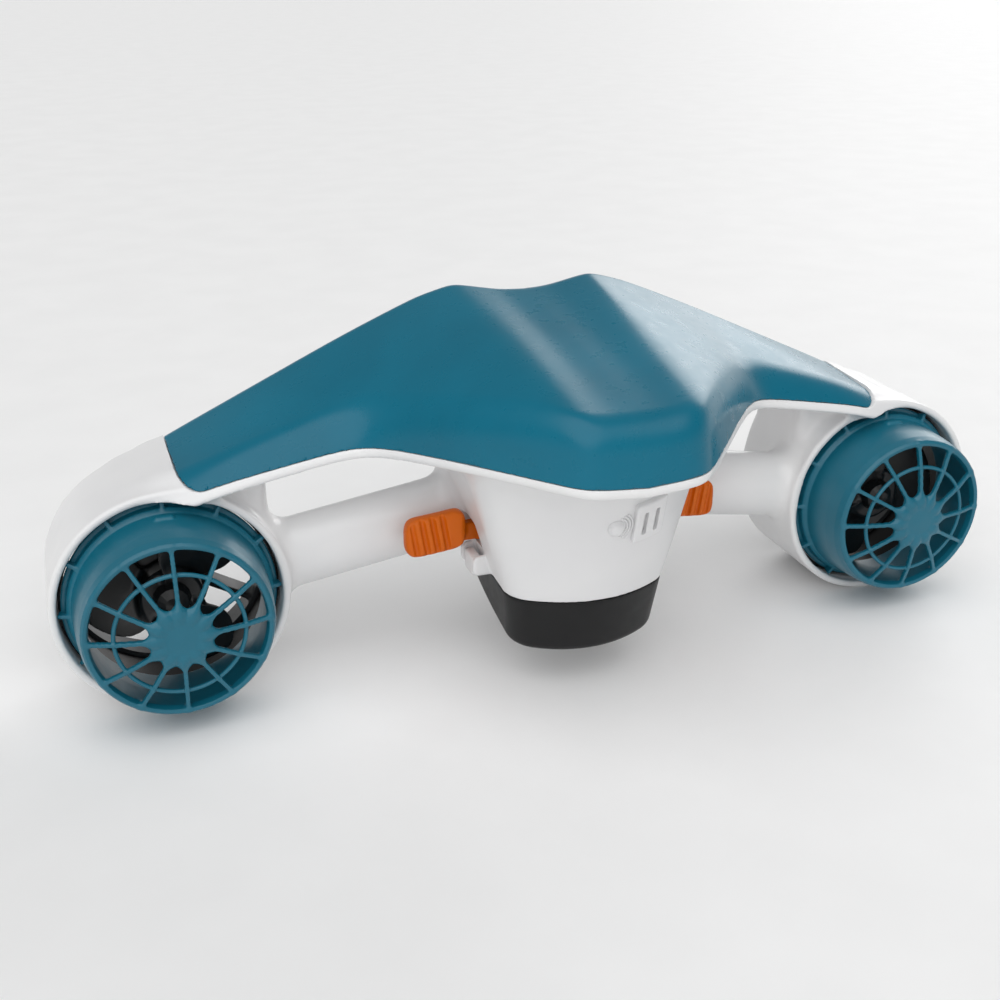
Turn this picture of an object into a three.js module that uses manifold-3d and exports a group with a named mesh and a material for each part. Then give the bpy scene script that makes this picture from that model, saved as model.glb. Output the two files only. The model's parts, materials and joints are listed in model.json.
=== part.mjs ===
// Twin-duct underwater scooter: a winged top shell over a moulded chassis, two ducted thrusters,
// two grab bars with finger triggers, and a battery pack that drops out of the centre hub.
// Millimetres. The scooter is modelled with z = 0 on the duct axes and y = 0 on the duct mouths,
// +Y towards the rider, and the whole group is then lifted onto its base at the end.
import * as THREE from "three";
import { mergeVertices } from "three/addons/utils/BufferGeometryUtils.js";
import Module from "manifold-3d";

const wasm = await Module();
wasm.setup();

// ---------- driving dimensions ----------
const GAP = 0.3; // assembly clearance between neighbouring pieces
const DUCT_X = 207; // duct axes, either side of the centre line
const DUCT_RADIUS = 60;
const DUCT_BORE = 55.5;
const DUCT_LENGTH = 62;
const FOOT_DEPTH = 0.6; // how far the moulded foot flat cuts into the round duct
const WING_TIP = 199; // where the top shell ends, above the duct
const WALL = 3;
const RIM_HEIGHT = 5.5; // white band under the top shell
const BACK_Y = 65; // rear face of shell and rim
const HUB_TOP_HALF = 67; // half width of the hub just under the rim
const HUB_DRAFT = 0.27; // hub sides narrow by this much per millimetre downwards
const HUB_TOP_Z = 73;
const HUB_WALL = 3.5;
const PARTING_Z = -3; // hub and battery meet at this height at the front
const BAR_DEPTH = 30;
const BAR_HEIGHT = 39;
const BAR_SLOPE = -0.155; // height lost per millimetre outwards
const BAR_Y = 20;
const BAR_INNER_Z = 24.5; // bar centre height at the hub
const HUB_BAR_X = 50;
const DUCT_BAR_X = 152;
const PROPELLER_RADIUS = 46;
const MOTOR_RADIUS = 21;
const SHAFT_RADIUS = 3;
const GUARD_RIM_RADIUS = 45.5;
const GUARD_LENGTH = 31.5;
const SPOKES = 12;
const GRILLE = { hoop: 31.3, bendY: -34.2, tip: 41.8, tipY: -30.7, width: 2.2, depth: 2.4 };
const TRIGGER_PIVOT = [45, -5]; // x and y of the trigger pin
const LATCH_PIN = { u: 51.7, z: 6, radius: 1.2 };
const LATCH_Y = [-17, -1]; // the latch lies between two hub lugs
const LUG_THICKNESS = 2.6;
const BUTTON_TILT = 0.255; // the hub's front wall leans forward towards its top
const BUTTON_X = 1.5;
const BUTTON_Z = 42;
const STRAP_PLATE = { x: 20.5, width: 19, height: 23, slots: [16.8, 24.2] };
const BODY_CENTRE_Y = -24.1; // middle of the whole scooter front to back
const BASE_Z = -(DUCT_RADIUS - FOOT_DEPTH);
const ROUND = 48; // sides of the largest round pieces; small ones have fewer
const FINE = 24;
const SMALL = 12;

// ---------- finishes ----------
const finish = (color, roughness, metalness = 0) => ({ color, roughness, metalness });
const TEAL = finish(0x0b6480, 0.3);
const WHITE = finish(0xe4e5e6, 0.38);
const ORANGE = finish(0xd96500, 0.45);
const BLACK = finish(0x222223, 0.55);
const GREY = finish(0x9a9c9f, 0.5);
const STEEL = finish(0xb9bcc0, 0.3, 1);
const COPPER = finish(0xb87333, 0.4, 1);
const BOARD_GREEN = finish(0x1f5a3a, 0.5);
const RUBBER = finish(0x161616, 0.85);

const scooter = new THREE.Group();

function addPiece(name, look, geometry) {
  const mesh = new THREE.Mesh(geometry, new THREE.MeshStandardMaterial(look));
  mesh.name = name;
  scooter.add(mesh);
  return mesh;
}

// ---------- solid modelling helpers ----------
function solidOf(geometry) {
  const plain = new THREE.BufferGeometry();
  plain.setAttribute("position", geometry.getAttribute("position").clone());
  if (geometry.index) plain.setIndex(geometry.index.clone());
  const merged = mergeVertices(plain, 1e-4);
  const positions = merged.getAttribute("position").array;
  const triVerts = new Uint32Array(merged.index.array);
  let solid = new wasm.Manifold(
    new wasm.Mesh({ numProp: 3, vertProperties: positions, triVerts }),
  );
  if (solid.volume() < 0) {
    triVerts.reverse();
    solid = new wasm.Manifold(
      new wasm.Mesh({ numProp: 3, vertProperties: positions, triVerts }),
    );
  }
  return solid;
}

function geometryOf(solid) {
  const mesh = solid.getMesh();
  const geometry = new THREE.BufferGeometry();
  geometry.setAttribute("position", new THREE.BufferAttribute(mesh.vertProperties, 3));
  geometry.setIndex(new THREE.BufferAttribute(mesh.triVerts, 1));
  geometry.computeVertexNormals();
  return geometry;
}

function join(first, ...others) {
  return geometryOf(others.reduce((sum, g) => sum.add(solidOf(g)), solidOf(first)));
}

function cut(first, ...others) {
  return geometryOf(others.reduce((sum, g) => sum.subtract(solidOf(g)), solidOf(first)));
}

function common(first, ...others) {
  return geometryOf(others.reduce((sum, g) => sum.intersect(solidOf(g)), solidOf(first)));
}

const move = (geometry, x, y, z) => geometry.translate(x, y, z);

// The same piece, mirrored to the left when side is -1.
const onSide = (side, geometry) =>
  side < 0 ? geometryOf(solidOf(geometry.scale(-1, 1, 1))) : geometry;

function box(x0, x1, y0, y1, z0, z1) {
  const geometry = new THREE.BoxGeometry(x1 - x0, y1 - y0, z1 - z0);
  return move(geometry, (x0 + x1) / 2, (y0 + y1) / 2, (z0 + z1) / 2);
}

// A turned piece about a line along Y, from [radius, y] points.
function turned(profile, segments = 32) {
  const points = profile.map(([r, y]) => new THREE.Vector2(r, y));
  const area = THREE.ShapeUtils.area(points);
  const ordered = area < 0 ? points.reverse() : points;
  const closed = ordered[0].x > 0 || ordered.at(-1).x > 0;
  if (closed) ordered.push(ordered[0].clone());
  return new THREE.LatheGeometry(ordered, segments);
}

const rod = (radius, y0, y1, segments = 24) =>
  turned([[0, y0], [radius, y0], [radius, y1], [0, y1]], segments);

const ring = (inner, outer, y0, y1, segments = 32) =>
  turned([[inner, y0], [outer, y0], [outer, y1], [inner, y1]], segments);

// A closed skin over rings of points, each end closed by a fan to its middle.
function loft(rings) {
  const count = rings[0].length;
  const vertices = rings.flat();
  const faces = [];
  for (let k = 0; k + 1 < rings.length; k += 1) {
    for (let i = 0; i < count; i += 1) {
      const a = k * count + i;
      const b = k * count + ((i + 1) % count);
      faces.push(a, b, a + count, b, b + count, a + count);
    }
  }
  for (const end of [0, rings.length - 1]) {
    const middle = rings[end]
      .reduce((sum, p) => sum.add(p), new THREE.Vector3())
      .divideScalar(count);
    const apex = vertices.push(middle) - 1;
    for (let i = 0; i < count; i += 1) {
      const a = end * count + i;
      const b = end * count + ((i + 1) % count);
      faces.push(...(end === 0 ? [b, a, apex] : [a, b, apex]));
    }
  }
  const geometry = new THREE.BufferGeometry().setFromPoints(vertices);
  geometry.setIndex(faces);
  return geometry;
}

// A smooth value along [position, value] control points, without overshoot.
function along(points, position) {
  const last = points.length - 1;
  if (position <= points[0][0]) return points[0][1];
  if (position >= points[last][0]) return points[last][1];
  const slope = (k) => (points[k + 1][1] - points[k][1]) / (points[k + 1][0] - points[k][0]);
  const tangent = (k) => {
    if (k === 0) return slope(0);
    if (k === last) return slope(last - 1);
    const [before, after] = [slope(k - 1), slope(k)];
    return before * after <= 0 ? 0 : (2 * before * after) / (before + after);
  };
  const k = points.findIndex((p) => p[0] > position) - 1;
  const span = points[k + 1][0] - points[k][0];
  const t = (position - points[k][0]) / span;
  const [from, to] = [points[k][1], points[k + 1][1]];
  return (
    from * (1 + 2 * t) * (1 - t) ** 2 +
    to * t * t * (3 - 2 * t) +
    span * (tangent(k) * t * (1 - t) ** 2 - tangent(k + 1) * t * t * (1 - t))
  );
}

// ---------- wing curves, by distance from the centre line ----------
const frontEdge = (u) =>
  along([[0, -113], [22, -112], [34, -107], [44, -96], [98, -28], [112, -15], [126, -9.5],
    [160, -8], [188, -5], [WING_TIP, 6]], u);
const partingHeight = (u) =>
  along([[0, 79.5], [60, 80], [90, 78.5], [110, 76], [140, 70.5], [WING_TIP, 57]], u);
const creaseHeight = (u) =>
  along([[0, 105], [45, 107], [72, 102.5], [93, 97], [114, 90], [138, 83], [168, 76],
    [WING_TIP, 65]], u);
const roofHeight = (u) =>
  along([[0, 134.5], [40, 138.5], [54, 134.3], [74, 126.5], [152, 91], [WING_TIP, 68]], u);
const roofBack = (u) => along([[0, 48], [40, 50], [80, 58], [WING_TIP, 58]], u);

// One front-to-back section of the wing, shrunk inwards by a wall thickness.
function wingSection(x, wall) {
  const u = Math.abs(x);
  const low = partingHeight(u) - (wall > 0 ? 1 : 0);
  const front = frontEdge(u) + wall;
  const crease = creaseHeight(u) - wall;
  const lean = 0.2 * (crease - low);
  const roof = roofHeight(u) - wall;
  const back = BACK_Y - wall;
  const roofY = roofBack(u) - wall / 2;
  const outline = [
    [front, low],
    [front + lean * 0.75, crease - 5],
    [front + lean + 1, crease - 1.2],
    [front + lean + 6, crease + 0.8],
  ];
  const [startY, startZ] = outline.at(-1);
  const steps = 2;
  for (let i = 1; i <= steps; i += 1) {
    const t = i / steps;
    outline.push([startY + (roofY - startY) * t, startZ + (roof - startZ) * t]);
  }
  outline.push([(roofY + back) / 2, roof - 2.2], [back - 1, roof - 8], [back, low]);
  return outline.map(([y, z]) => new THREE.Vector3(x, y, z));
}

// Half-span stations, closer together round the nose corners and the tips.
const STATIONS = [0, 16, 28, 38, 48, 74, 98, 112, 140, 178, 190];

function spanStations(tip) {
  const half = [...STATIONS.slice(1), tip];
  return [...half.map((u) => -u).reverse(), 0, ...half];
}

const wingSolid = (wall) =>
  loft(spanStations(WING_TIP - wall).map((x) => wingSection(x, wall)));

const ductAxisRod = (side, radius) =>
  move(rod(radius, -20, DUCT_LENGTH + 20, ROUND), side * DUCT_X, 0, 0);

// Screw places: beside the centre line, mirrored left and right.
const SCREWS = [
  { name: "nose", u: 36, y: -60 },
  { name: "root", u: 78, y: 42 },
  { name: "wing", u: 146, y: 20 },
];

function standing(radius, u, y, z0, z1, segments = 16) {
  const geometry = new THREE.CylinderGeometry(radius, radius, z1 - z0, segments);
  return move(geometry.rotateX(Math.PI / 2), u, y, (z0 + z1) / 2);
}

function makeTopShell() {
  const outer = wingSolid(0);
  const bosses = [];
  const bores = [];
  for (const { u, y } of SCREWS) {
    for (const side of [-1, 1]) {
      const floor = partingHeight(u) + 1;
      bosses.push(standing(4.5, side * u, y, floor, 150, 10));
      bores.push(standing(1.8, side * u, y, floor - 2, floor + 14, 8));
    }
  }
  const shell = cut(outer, wingSolid(WALL));
  const posts = common(join(...bosses), outer);
  const ducts = [-1, 1].map((side) => ductAxisRod(side, DUCT_RADIUS + GAP));
  return cut(join(shell, posts), ...bores, ...ducts);
}

// ---------- chassis plate: the white rim and the floor under the wing ----------
function plateSection(x) {
  const u = Math.abs(x);
  const top = partingHeight(u) - GAP;
  const low = top - RIM_HEIGHT;
  const front = frontEdge(u) - 0.8;
  return [
    [front, top],
    [BACK_Y + 0.6, top],
    [BACK_Y + 0.6, low + 1.5],
    [BACK_Y - 1, low],
    [front + 2, low],
    [front, low + 2],
  ].map(([y, z]) => new THREE.Vector3(x, y, z));
}

function makeChassisPlate() {
  const plate = loft(spanStations(WING_TIP + 0.2).map((x) => plateSection(x)));
  const holes = [];
  for (const { u, y } of SCREWS) {
    for (const side of [-1, 1]) {
      holes.push(standing(1.9, side * u, y, 50, 90, 8));
    }
  }
  const wirePass = box(-24, 24, 18, 34, 60, 90);
  const ducts = [-1, 1].map((side) => ductAxisRod(side, DUCT_RADIUS + GAP));
  return cut(plate, wirePass, ...holes, ...ducts);
}

// ---------- hub and battery ----------
// Level section through the hub: a squared oval.
function hubRing(z, grow) {
  const halfWidth = HUB_TOP_HALF - HUB_DRAFT * (HUB_TOP_Z - z) + grow;
  const front = hubFront(z) - grow;
  const back = 48 + grow;
  const middle = (front + back) / 2;
  const halfDepth = (back - front) / 2;
  const squareness = 0.52;
  const sides = 28;
  const points = [];
  for (let i = 0; i < sides; i += 1) {
    const angle = (2 * Math.PI * i) / sides;
    const [c, s] = [Math.cos(angle), Math.sin(angle)];
    const x = halfWidth * Math.sign(c) * Math.abs(c) ** squareness;
    const y = middle + halfDepth * Math.sign(s) * Math.abs(s) ** squareness;
    points.push(new THREE.Vector3(x, y, z));
  }
  return points;
}

// Side outline of hub and battery together: [y, z, outward y, outward z].
const CHIN = [
  [-90, HUB_TOP_Z, -1, 0],
  [-64, PARTING_Z - 20, -1, 0],
  [-58, -33, -0.7, -0.7],
  [-14, -33, 0, -1],
  [8, -24, 0.5, -0.87],
  [24, -3, 0.8, -0.6],
  [42, 22, 0.8, -0.6],
  [48, 42, 1, -0.2],
  [48, HUB_TOP_Z, 1, 0],
];

function acrossX(outline, halfWidth) {
  const shape = new THREE.Shape(outline.map(([y, z]) => new THREE.Vector2(y, z)));
  const geometry = new THREE.ExtrudeGeometry(shape, { depth: 2 * halfWidth, bevelEnabled: false });
  geometry.applyMatrix4(
    new THREE.Matrix4().makeBasis(
      new THREE.Vector3(0, 1, 0),
      new THREE.Vector3(0, 0, 1),
      new THREE.Vector3(1, 0, 0),
    ),
  );
  return move(geometry, -halfWidth, 0, 0);
}

function chin(grow, top = HUB_TOP_Z) {
  const outline = CHIN.map(([y, z, ny, nz]) => [
    y + ny * grow,
    z === HUB_TOP_Z ? top : z + nz * grow,
  ]);
  const plan = loft([hubRing(-50, grow), hubRing(top, grow)]);
  return common(plan, acrossX(outline, 90));
}

const belowParting = (shift) =>
  acrossX([[-120, PARTING_Z + shift], [-38, PARTING_Z + shift], [80, PARTING_Z + 9 + shift],
    [80, -80], [-120, -80]], 120);

const BATTERY_CORE = box(-33, 33, -47, 8, -20, 50);
const TRIGGER_SLOT_Z = [12, 30];

const hubFront = (z) => -63 - 0.26 * (z - PARTING_Z);

// Carries a fitting modelled about the Y axis onto the hub's front wall, beside the centre line.
function onFrontWall(geometry, x) {
  return move(geometry.rotateX(BUTTON_TILT), x, hubFront(BUTTON_Z), BUTTON_Z);
}

// Lugs that hold one side's latch pin, and brackets that hold its trigger pin.
function hubFixings(side) {
  const [latchFront, latchBack] = LATCH_Y;
  const pieces = [
    box(45, 54.2, latchFront - GAP - LUG_THICKNESS, latchFront - GAP, 2, 9.5),
    box(45, 54.2, latchBack + GAP, latchBack + GAP + LUG_THICKNESS, 2, 9.5),
    box(40, 52, -10, 0, 31.4, 34.4),
    box(40, 50, -10, 0, 8.6, 11.6),
  ];
  return pieces.map((piece) => onSide(side, piece));
}

function hubBores(side) {
  return [
    move(rod(LATCH_PIN.radius + GAP, -30, 10, 12), side * LATCH_PIN.u, 0, LATCH_PIN.z),
    standing(2 + GAP, side * TRIGGER_PIVOT[0], TRIGGER_PIVOT[1], 0, 40, SMALL),
  ];
}

function makeHub() {
  const shell = cut(chin(0), chin(-HUB_WALL, HUB_TOP_Z + 5), belowParting(0));
  const buttonBore = onFrontWall(rod(4.6 + GAP, -10, 12), BUTTON_X);
  const triggerSlot = box(-90, 90, -12, 3, ...TRIGGER_SLOT_Z);
  return cut(
    join(shell, ...hubFixings(1), ...hubFixings(-1)),
    buttonBore,
    triggerSlot,
    ...hubBores(1),
    ...hubBores(-1),
  );
}

const makeBattery = () => join(common(chin(0), belowParting(-GAP)), BATTERY_CORE);

// ---------- ducts ----------
const ductCircle = (u) => Math.sqrt(Math.max(0, DUCT_RADIUS ** 2 - (u - DUCT_X) ** 2));

function slabStation(u, y0, y1, z0, z1) {
  return [[y0, z0], [y1, z0], [y1, z1], [y0, z1]].map(([y, z]) => new THREE.Vector3(u, y, z));
}

// Inboard wall that ties the duct to the underside of the wing.
function ductWeb() {
  const stations = [DUCT_BAR_X, 158, 165, 175, 186, WING_TIP];
  return loft(
    stations.map((u) => {
      const under = partingHeight(u) - RIM_HEIGHT - 2 * GAP;
      const low = u < 154 ? 0 : ductCircle(u) - 4;
      const lean = u < 154 ? 26 : 0;
      return slabStation(u, 12, DUCT_LENGTH, Math.min(low, under - 3), under - lean);
    }),
  );
}

// Outboard shoulder that carries the wing surface down onto the round duct.
function ductShoulder() {
  const rise = 6.3;
  const reach = 30;
  const stations = [0, 0.2, 0.4, 0.6, 0.8, 1].map((t) => WING_TIP + 2 * GAP + t * reach);
  return loft(
    stations.map((u) => {
      const t = (u - WING_TIP) / reach;
      const top = ductCircle(u) + Math.max(0.05, rise * (1 - Math.min(1, t)) ** 2);
      return slabStation(u, 1.5, DUCT_LENGTH, ductCircle(u) - 4, top);
    }),
  );
}

function makeDuct(side) {
  const tube = turned(
    [[DUCT_BORE, 1.2], [DUCT_BORE + 1.3, 0], [DUCT_RADIUS - 2, 0], [DUCT_RADIUS, 2.2],
      [DUCT_RADIUS, DUCT_LENGTH - 1.5], [DUCT_RADIUS - 1.5, DUCT_LENGTH], [DUCT_BORE, DUCT_LENGTH]],
    ROUND,
  );
  const outside = join(move(tube, DUCT_X, 0, 0), ductWeb(), ductShoulder());
  const foot = box(DUCT_X - 40, DUCT_X + 40, -10, DUCT_LENGTH + 10, -70, BASE_Z);
  const duct = cut(outside, move(rod(DUCT_BORE, -30, 90, ROUND), DUCT_X, 0, 0), foot);
  return onSide(side, duct);
}

// ---------- grab bars ----------
function barSolid(grow, uFrom, uTo) {
  const sides = FINE;
  const ends = [uFrom, uTo].map((u) => {
    const points = [];
    const middleZ = BAR_INNER_Z + BAR_SLOPE * (u - HUB_BAR_X);
    for (let i = 0; i < sides; i += 1) {
      const angle = (2 * Math.PI * i) / sides;
      const y = BAR_Y + (BAR_DEPTH / 2 + grow) * Math.cos(angle);
      const z = middleZ + (BAR_HEIGHT / 2 + grow) * Math.sin(angle);
      points.push(new THREE.Vector3(u, y, z));
    }
    return points;
  });
  return loft(ends);
}

function makeBar(side) {
  const bar = cut(
    barSolid(0, HUB_BAR_X - 8, DUCT_BAR_X + 6),
    chin(GAP),
    ductAxisRod(1, DUCT_RADIUS + GAP),
    box(DUCT_BAR_X - GAP, 180, -20, 80, -40, 80),
  );
  return onSide(side, bar);
}

// ---------- intake guards ----------
function strut(from, to, width, depth) {
  const span = new THREE.Vector3().subVectors(to, from);
  const geometry = new THREE.BoxGeometry(width, depth, span.length());
  const middle = new THREE.Vector3().addVectors(from, to).divideScalar(2);
  const forward = span.clone().normalize();
  const side = new THREE.Vector3().crossVectors(new THREE.Vector3(0, 1, 0), forward).normalize();
  const up = new THREE.Vector3().crossVectors(forward, side);
  geometry.applyMatrix4(new THREE.Matrix4().makeBasis(side, up, forward));
  return move(geometry, middle.x, middle.y, middle.z);
}

const spokeAngles = Array.from({ length: SPOKES }, (_, i) => (i * 2 * Math.PI) / SPOKES);

const spoke = (angle, r0, y0, r1, y1, width, depth) =>
  strut(
    new THREE.Vector3(r0 * Math.cos(angle), y0, r0 * Math.sin(angle)),
    new THREE.Vector3(r1 * Math.cos(angle), y1, r1 * Math.sin(angle)),
    width,
    depth,
  );

// Drum that clips into the duct mouth: a funnel wall, its flange and twelve outer ribs.
function makeGuard() {
  const front = -GUARD_LENGTH;
  const wall = turned(
    [[50.5, 8], [50.5, 5], [48.2, 3], [46.6, -14], [GUARD_RIM_RADIUS + 0.6, front + 3],
      [GUARD_RIM_RADIUS - 1, front], [43, front], [42.6, front + 3], [45.8, 8]],
    FINE,
  );
  const flange = ring(49.8, 53.4, 5, 8, FINE);
  const ribs = spokeAngles.map((angle) => spoke(angle, 46.8, 2.5, DUCT_BORE - 5 * GAP, 5.6, 1.8, 2.6));
  return join(wall, flange, ...ribs);
}

// Finger grille inside the drum's rim: a cap, a hoop and twelve spokes that bend back at the hoop.
function makeGrille() {
  const cap = turned([[0, -40.6], [10, -40.2], [15, -38.6], [15, -36.4], [0, -37.6]], SMALL);
  const hoop = ring(GRILLE.hoop - 1, GRILLE.hoop + 1.3, -34.6, -32.6, FINE);
  const spokes = spokeAngles.flatMap((angle) => [
    spoke(angle, 13.5, -38.4, GRILLE.hoop + 0.2, GRILLE.bendY, GRILLE.width, GRILLE.depth),
    spoke(angle, GRILLE.hoop - 0.5, GRILLE.bendY - 0.2, GRILLE.tip, GRILLE.tipY, GRILLE.width, GRILLE.depth),
  ]);
  return join(cap, hoop, ...spokes);
}

// ---------- thruster internals, all turned about the duct axis ----------
const MOTOR = { front: 24, back: 50 };

// Rear frame: an outlet ring, three stator arms and the cup that holds the motor.
function makeStatorFrame() {
  const outer = ring(51.5, DUCT_BORE - 2 * GAP, 44, 60, FINE);
  const cup = turned([[MOTOR_RADIUS + GAP, 40], [MOTOR_RADIUS + 3, 40], [MOTOR_RADIUS + 3, 54],
    [14, 61], [0, 63], [0, 58], [12, 57], [MOTOR_RADIUS + GAP, 52]], FINE);
  const arms = [90, 210, 330].map((degrees) => {
    const angle = THREE.MathUtils.degToRad(degrees);
    return spoke(angle, MOTOR_RADIUS + 1.5, 49, 53, 52, 3, 11);
  });
  return join(cup, outer, ...arms);
}

function makeMotorCan() {
  return turned([[MOTOR_RADIUS, MOTOR.front], [MOTOR_RADIUS, MOTOR.back], [0, MOTOR.back],
    [0, MOTOR.back - 2], [MOTOR_RADIUS - 2, MOTOR.back - 2], [MOTOR_RADIUS - 2, MOTOR.front]], FINE);
}

const makeMotorCover = () =>
  turned([[8.3, 28], [8.3, 22], [12, 21.5], [MOTOR_RADIUS, 23.4], [MOTOR_RADIUS, 23.7],
    [MOTOR_RADIUS - 2.5, 23.7], [MOTOR_RADIUS - 2.5, 28]], FINE);

const makeStator = () => ring(12.5, MOTOR_RADIUS - 2.4, 31, 44, FINE);
const makeRotor = () => ring(SHAFT_RADIUS + 0.4, 12, 31, 44, 18);
const makeBearing = (y) => ring(SHAFT_RADIUS + GAP, 7.9, y, y + 3.4, SMALL);
const makeShaft = () => rod(SHAFT_RADIUS, 4.8, 47.5, SMALL);
const makeSeal = () => ring(SHAFT_RADIUS + 0.4, 7.9, 22.2, 24, SMALL);

// One propeller blade: a twisted plate lofted from the hub outwards.
function blade(start) {
  const rings = [13, 24, 36, PROPELLER_RADIUS].map((radius, k) => {
    const pitch = [0.95, 0.72, 0.55, 0.45][k];
    const chord = [15, 22, 25, 13][k];
    const half = [1.6, 1.3, 1.1, 0.8][k];
    return [[-1, -1], [0, -1.5], [1, -1], [1, 1], [0, 1.5], [-1, 1]].map(([c, t]) => {
      const reach = (chord / 2) * c;
      const turn = start + (reach * Math.cos(pitch)) / radius;
      const y = 12.5 + reach * Math.sin(pitch) + t * half * Math.cos(pitch);
      return new THREE.Vector3(radius * Math.cos(turn), y, radius * Math.sin(turn));
    });
  });
  return loft(rings);
}

function makePropeller() {
  const hub = turned([[SHAFT_RADIUS + 0.4, 5.4], [10, 5.4], [16.5, 9], [16.5, 20.5],
    [SHAFT_RADIUS + 0.4, 20.5]], FINE);
  const blades = [0, 1, 2].map((i) => blade((i * 2 * Math.PI) / 3));
  return cut(join(hub, ...blades), rod(SHAFT_RADIUS + 0.4, 0, 30, SMALL));
}

const makeSpinner = () =>
  turned([[0, -3.6], [4, -2.8], [8, -0.2], [9.8, 5.1], [SHAFT_RADIUS + 0.4, 5.1],
    [SHAFT_RADIUS + 0.4, 2], [0, 2]], 16);

function addThruster(side, label) {
  const pieces = [
    ["intake_guard", TEAL, makeGuard()],
    ["intake_grille", TEAL, makeGrille()],
    ["stator_frame", GREY, makeStatorFrame()],
    ["motor_can", STEEL, makeMotorCan()],
    ["motor_cover", BLACK, makeMotorCover()],
    ["motor_stator", COPPER, makeStator()],
    ["motor_rotor", STEEL, makeRotor()],
    ["front_bearing", STEEL, makeBearing(24.4)],
    ["rear_bearing", STEEL, makeBearing(44.3)],
    ["shaft_seal", RUBBER, makeSeal()],
    ["motor_shaft", STEEL, makeShaft()],
    ["propeller", BLACK, onSide(side, makePropeller())],
    ["spinner", BLACK, makeSpinner()],
  ];
  for (const [name, look, geometry] of pieces) {
    addPiece(`${label}_${name}`, look, geometry).position.set(side * DUCT_X, 0, 0);
  }
}

// ---------- triggers ----------
function roundedPlate(width, height, depth, radius) {
  const [w, h] = [width / 2 - radius, height / 2 - radius];
  const shape = new THREE.Shape();
  shape.absarc(w, h, radius, 0, Math.PI / 2);
  shape.absarc(-w, h, radius, Math.PI / 2, Math.PI);
  shape.absarc(-w, -h, radius, Math.PI, 1.5 * Math.PI);
  shape.absarc(w, -h, radius, 1.5 * Math.PI, 2 * Math.PI);
  const geometry = new THREE.ExtrudeGeometry(shape, {
    depth,
    bevelEnabled: false,
    curveSegments: 4,
  });
  return geometry.rotateX(Math.PI / 2);
}

const TRIGGER = { u0: 55, u1: 89, z0: 7, z1: 35, y0: -15, y1: -6 };

function makeTrigger(side) {
  const width = TRIGGER.u1 - TRIGGER.u0;
  const height = TRIGGER.z1 - TRIGGER.z0;
  const paddle = move(
    roundedPlate(width, height, TRIGGER.y1 - TRIGGER.y0, 9),
    (TRIGGER.u0 + TRIGGER.u1) / 2,
    TRIGGER.y1,
    (TRIGGER.z0 + TRIGGER.z1) / 2,
  );
  const grooves = [0, 1, 2, 3].map((i) => {
    const u = TRIGGER.u0 + 8 + i * 6;
    return box(u, u + 1.2, TRIGGER.y0 - 1, TRIGGER.y0 + 1.2, TRIGGER.z0 - 1, TRIGGER.z1 + 1);
  });
  const stem = box(TRIGGER_PIVOT[0], TRIGGER.u0 + 4, -9, -2, 15, 25);
  const eye = standing(4.2, TRIGGER_PIVOT[0], TRIGGER_PIVOT[1], 15, 25, SMALL);
  const bore = standing(2 + GAP, TRIGGER_PIVOT[0], TRIGGER_PIVOT[1], 10, 32, SMALL);
  const trigger = cut(join(paddle, stem, eye), bore, ...grooves);
  return onSide(side, trigger);
}

const pivotPlaced = (side, geometry) =>
  move(geometry, side * TRIGGER_PIVOT[0], TRIGGER_PIVOT[1], 0);

class Helix extends THREE.Curve {
  constructor(radius, turns, z0, z1) {
    super();
    Object.assign(this, { radius, turns, z0, z1 });
  }

  getPoint(t) {
    const angle = 2 * Math.PI * this.turns * t;
    return new THREE.Vector3(
      this.radius * Math.cos(angle),
      this.radius * Math.sin(angle),
      this.z0 + (this.z1 - this.z0) * t,
    );
  }
}

function wireAlong(curve, radius, sides, steps) {
  const shape = new THREE.Shape();
  for (let i = 0; i < sides; i += 1) {
    const angle = (2 * Math.PI * i) / sides;
    const place = [radius * Math.cos(angle), radius * Math.sin(angle)];
    if (i === 0) shape.moveTo(...place);
    else shape.lineTo(...place);
  }
  shape.closePath();
  return new THREE.ExtrudeGeometry(shape, { steps, extrudePath: curve, bevelEnabled: false });
}

function addControls(side, label) {
  addPiece(`${label}_trigger`, ORANGE, makeTrigger(side));
  const pin = pivotPlaced(side, standing(2, 0, 0, 8, 35.5, SMALL));
  addPiece(`${label}_trigger_pin`, STEEL, pin);
  const spring = wireAlong(new Helix(3.4, 3, 26, 30.6), 0.5, 4, 24);
  addPiece(`${label}_trigger_spring`, STEEL, pivotPlaced(side, spring));
  addPiece(`${label}_trigger_switch`, BLACK, onSide(side, box(36, 44, 1.5, 8, 15, 27)));
}

// ---------- battery latches ----------
function addLatch(side, label) {
  const { u, z, radius } = LATCH_PIN;
  const [front, back] = LATCH_Y;
  const finger = box(50.2, 53.6, front, back, -12, z);
  const eye = move(rod(2.6, front, back, 16), u, 0, z);
  const toe = box(47, 51, front + 2, back - 2, -12, -9.5);
  const bore = move(rod(radius + GAP, -30, 10, 12), u, 0, z);
  const latch = cut(join(finger, eye, toe), bore);
  addPiece(`${label}_battery_latch`, WHITE, onSide(side, latch));
  const pin = move(rod(radius, front - 2.8, back + 2.8, 12), side * u, 0, z);
  addPiece(`${label}_latch_pin`, STEEL, pin);
}

// ---------- front fittings ----------
const buttonProfile = () =>
  turned([[0, -3.4], [2.6, -2.8], [4.2, -1], [4.6, 0.6], [4.6, 5.8],
    [6.4, 5.8], [6.4, 7.4], [0, 7.4]], 16);

// Raised strap plate beside the button, with two slots for a wrist tether.
function makeTetherPlate() {
  const { width, height, slots } = STRAP_PLATE;
  const plate = move(roundedPlate(width, height, 3, 2), STRAP_PLATE.x, -GAP, 0);
  return cut(plate, ...slots.map((x) => box(x - 1.1, x + 1.1, -8, 4, -6, 6)));
}

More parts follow.
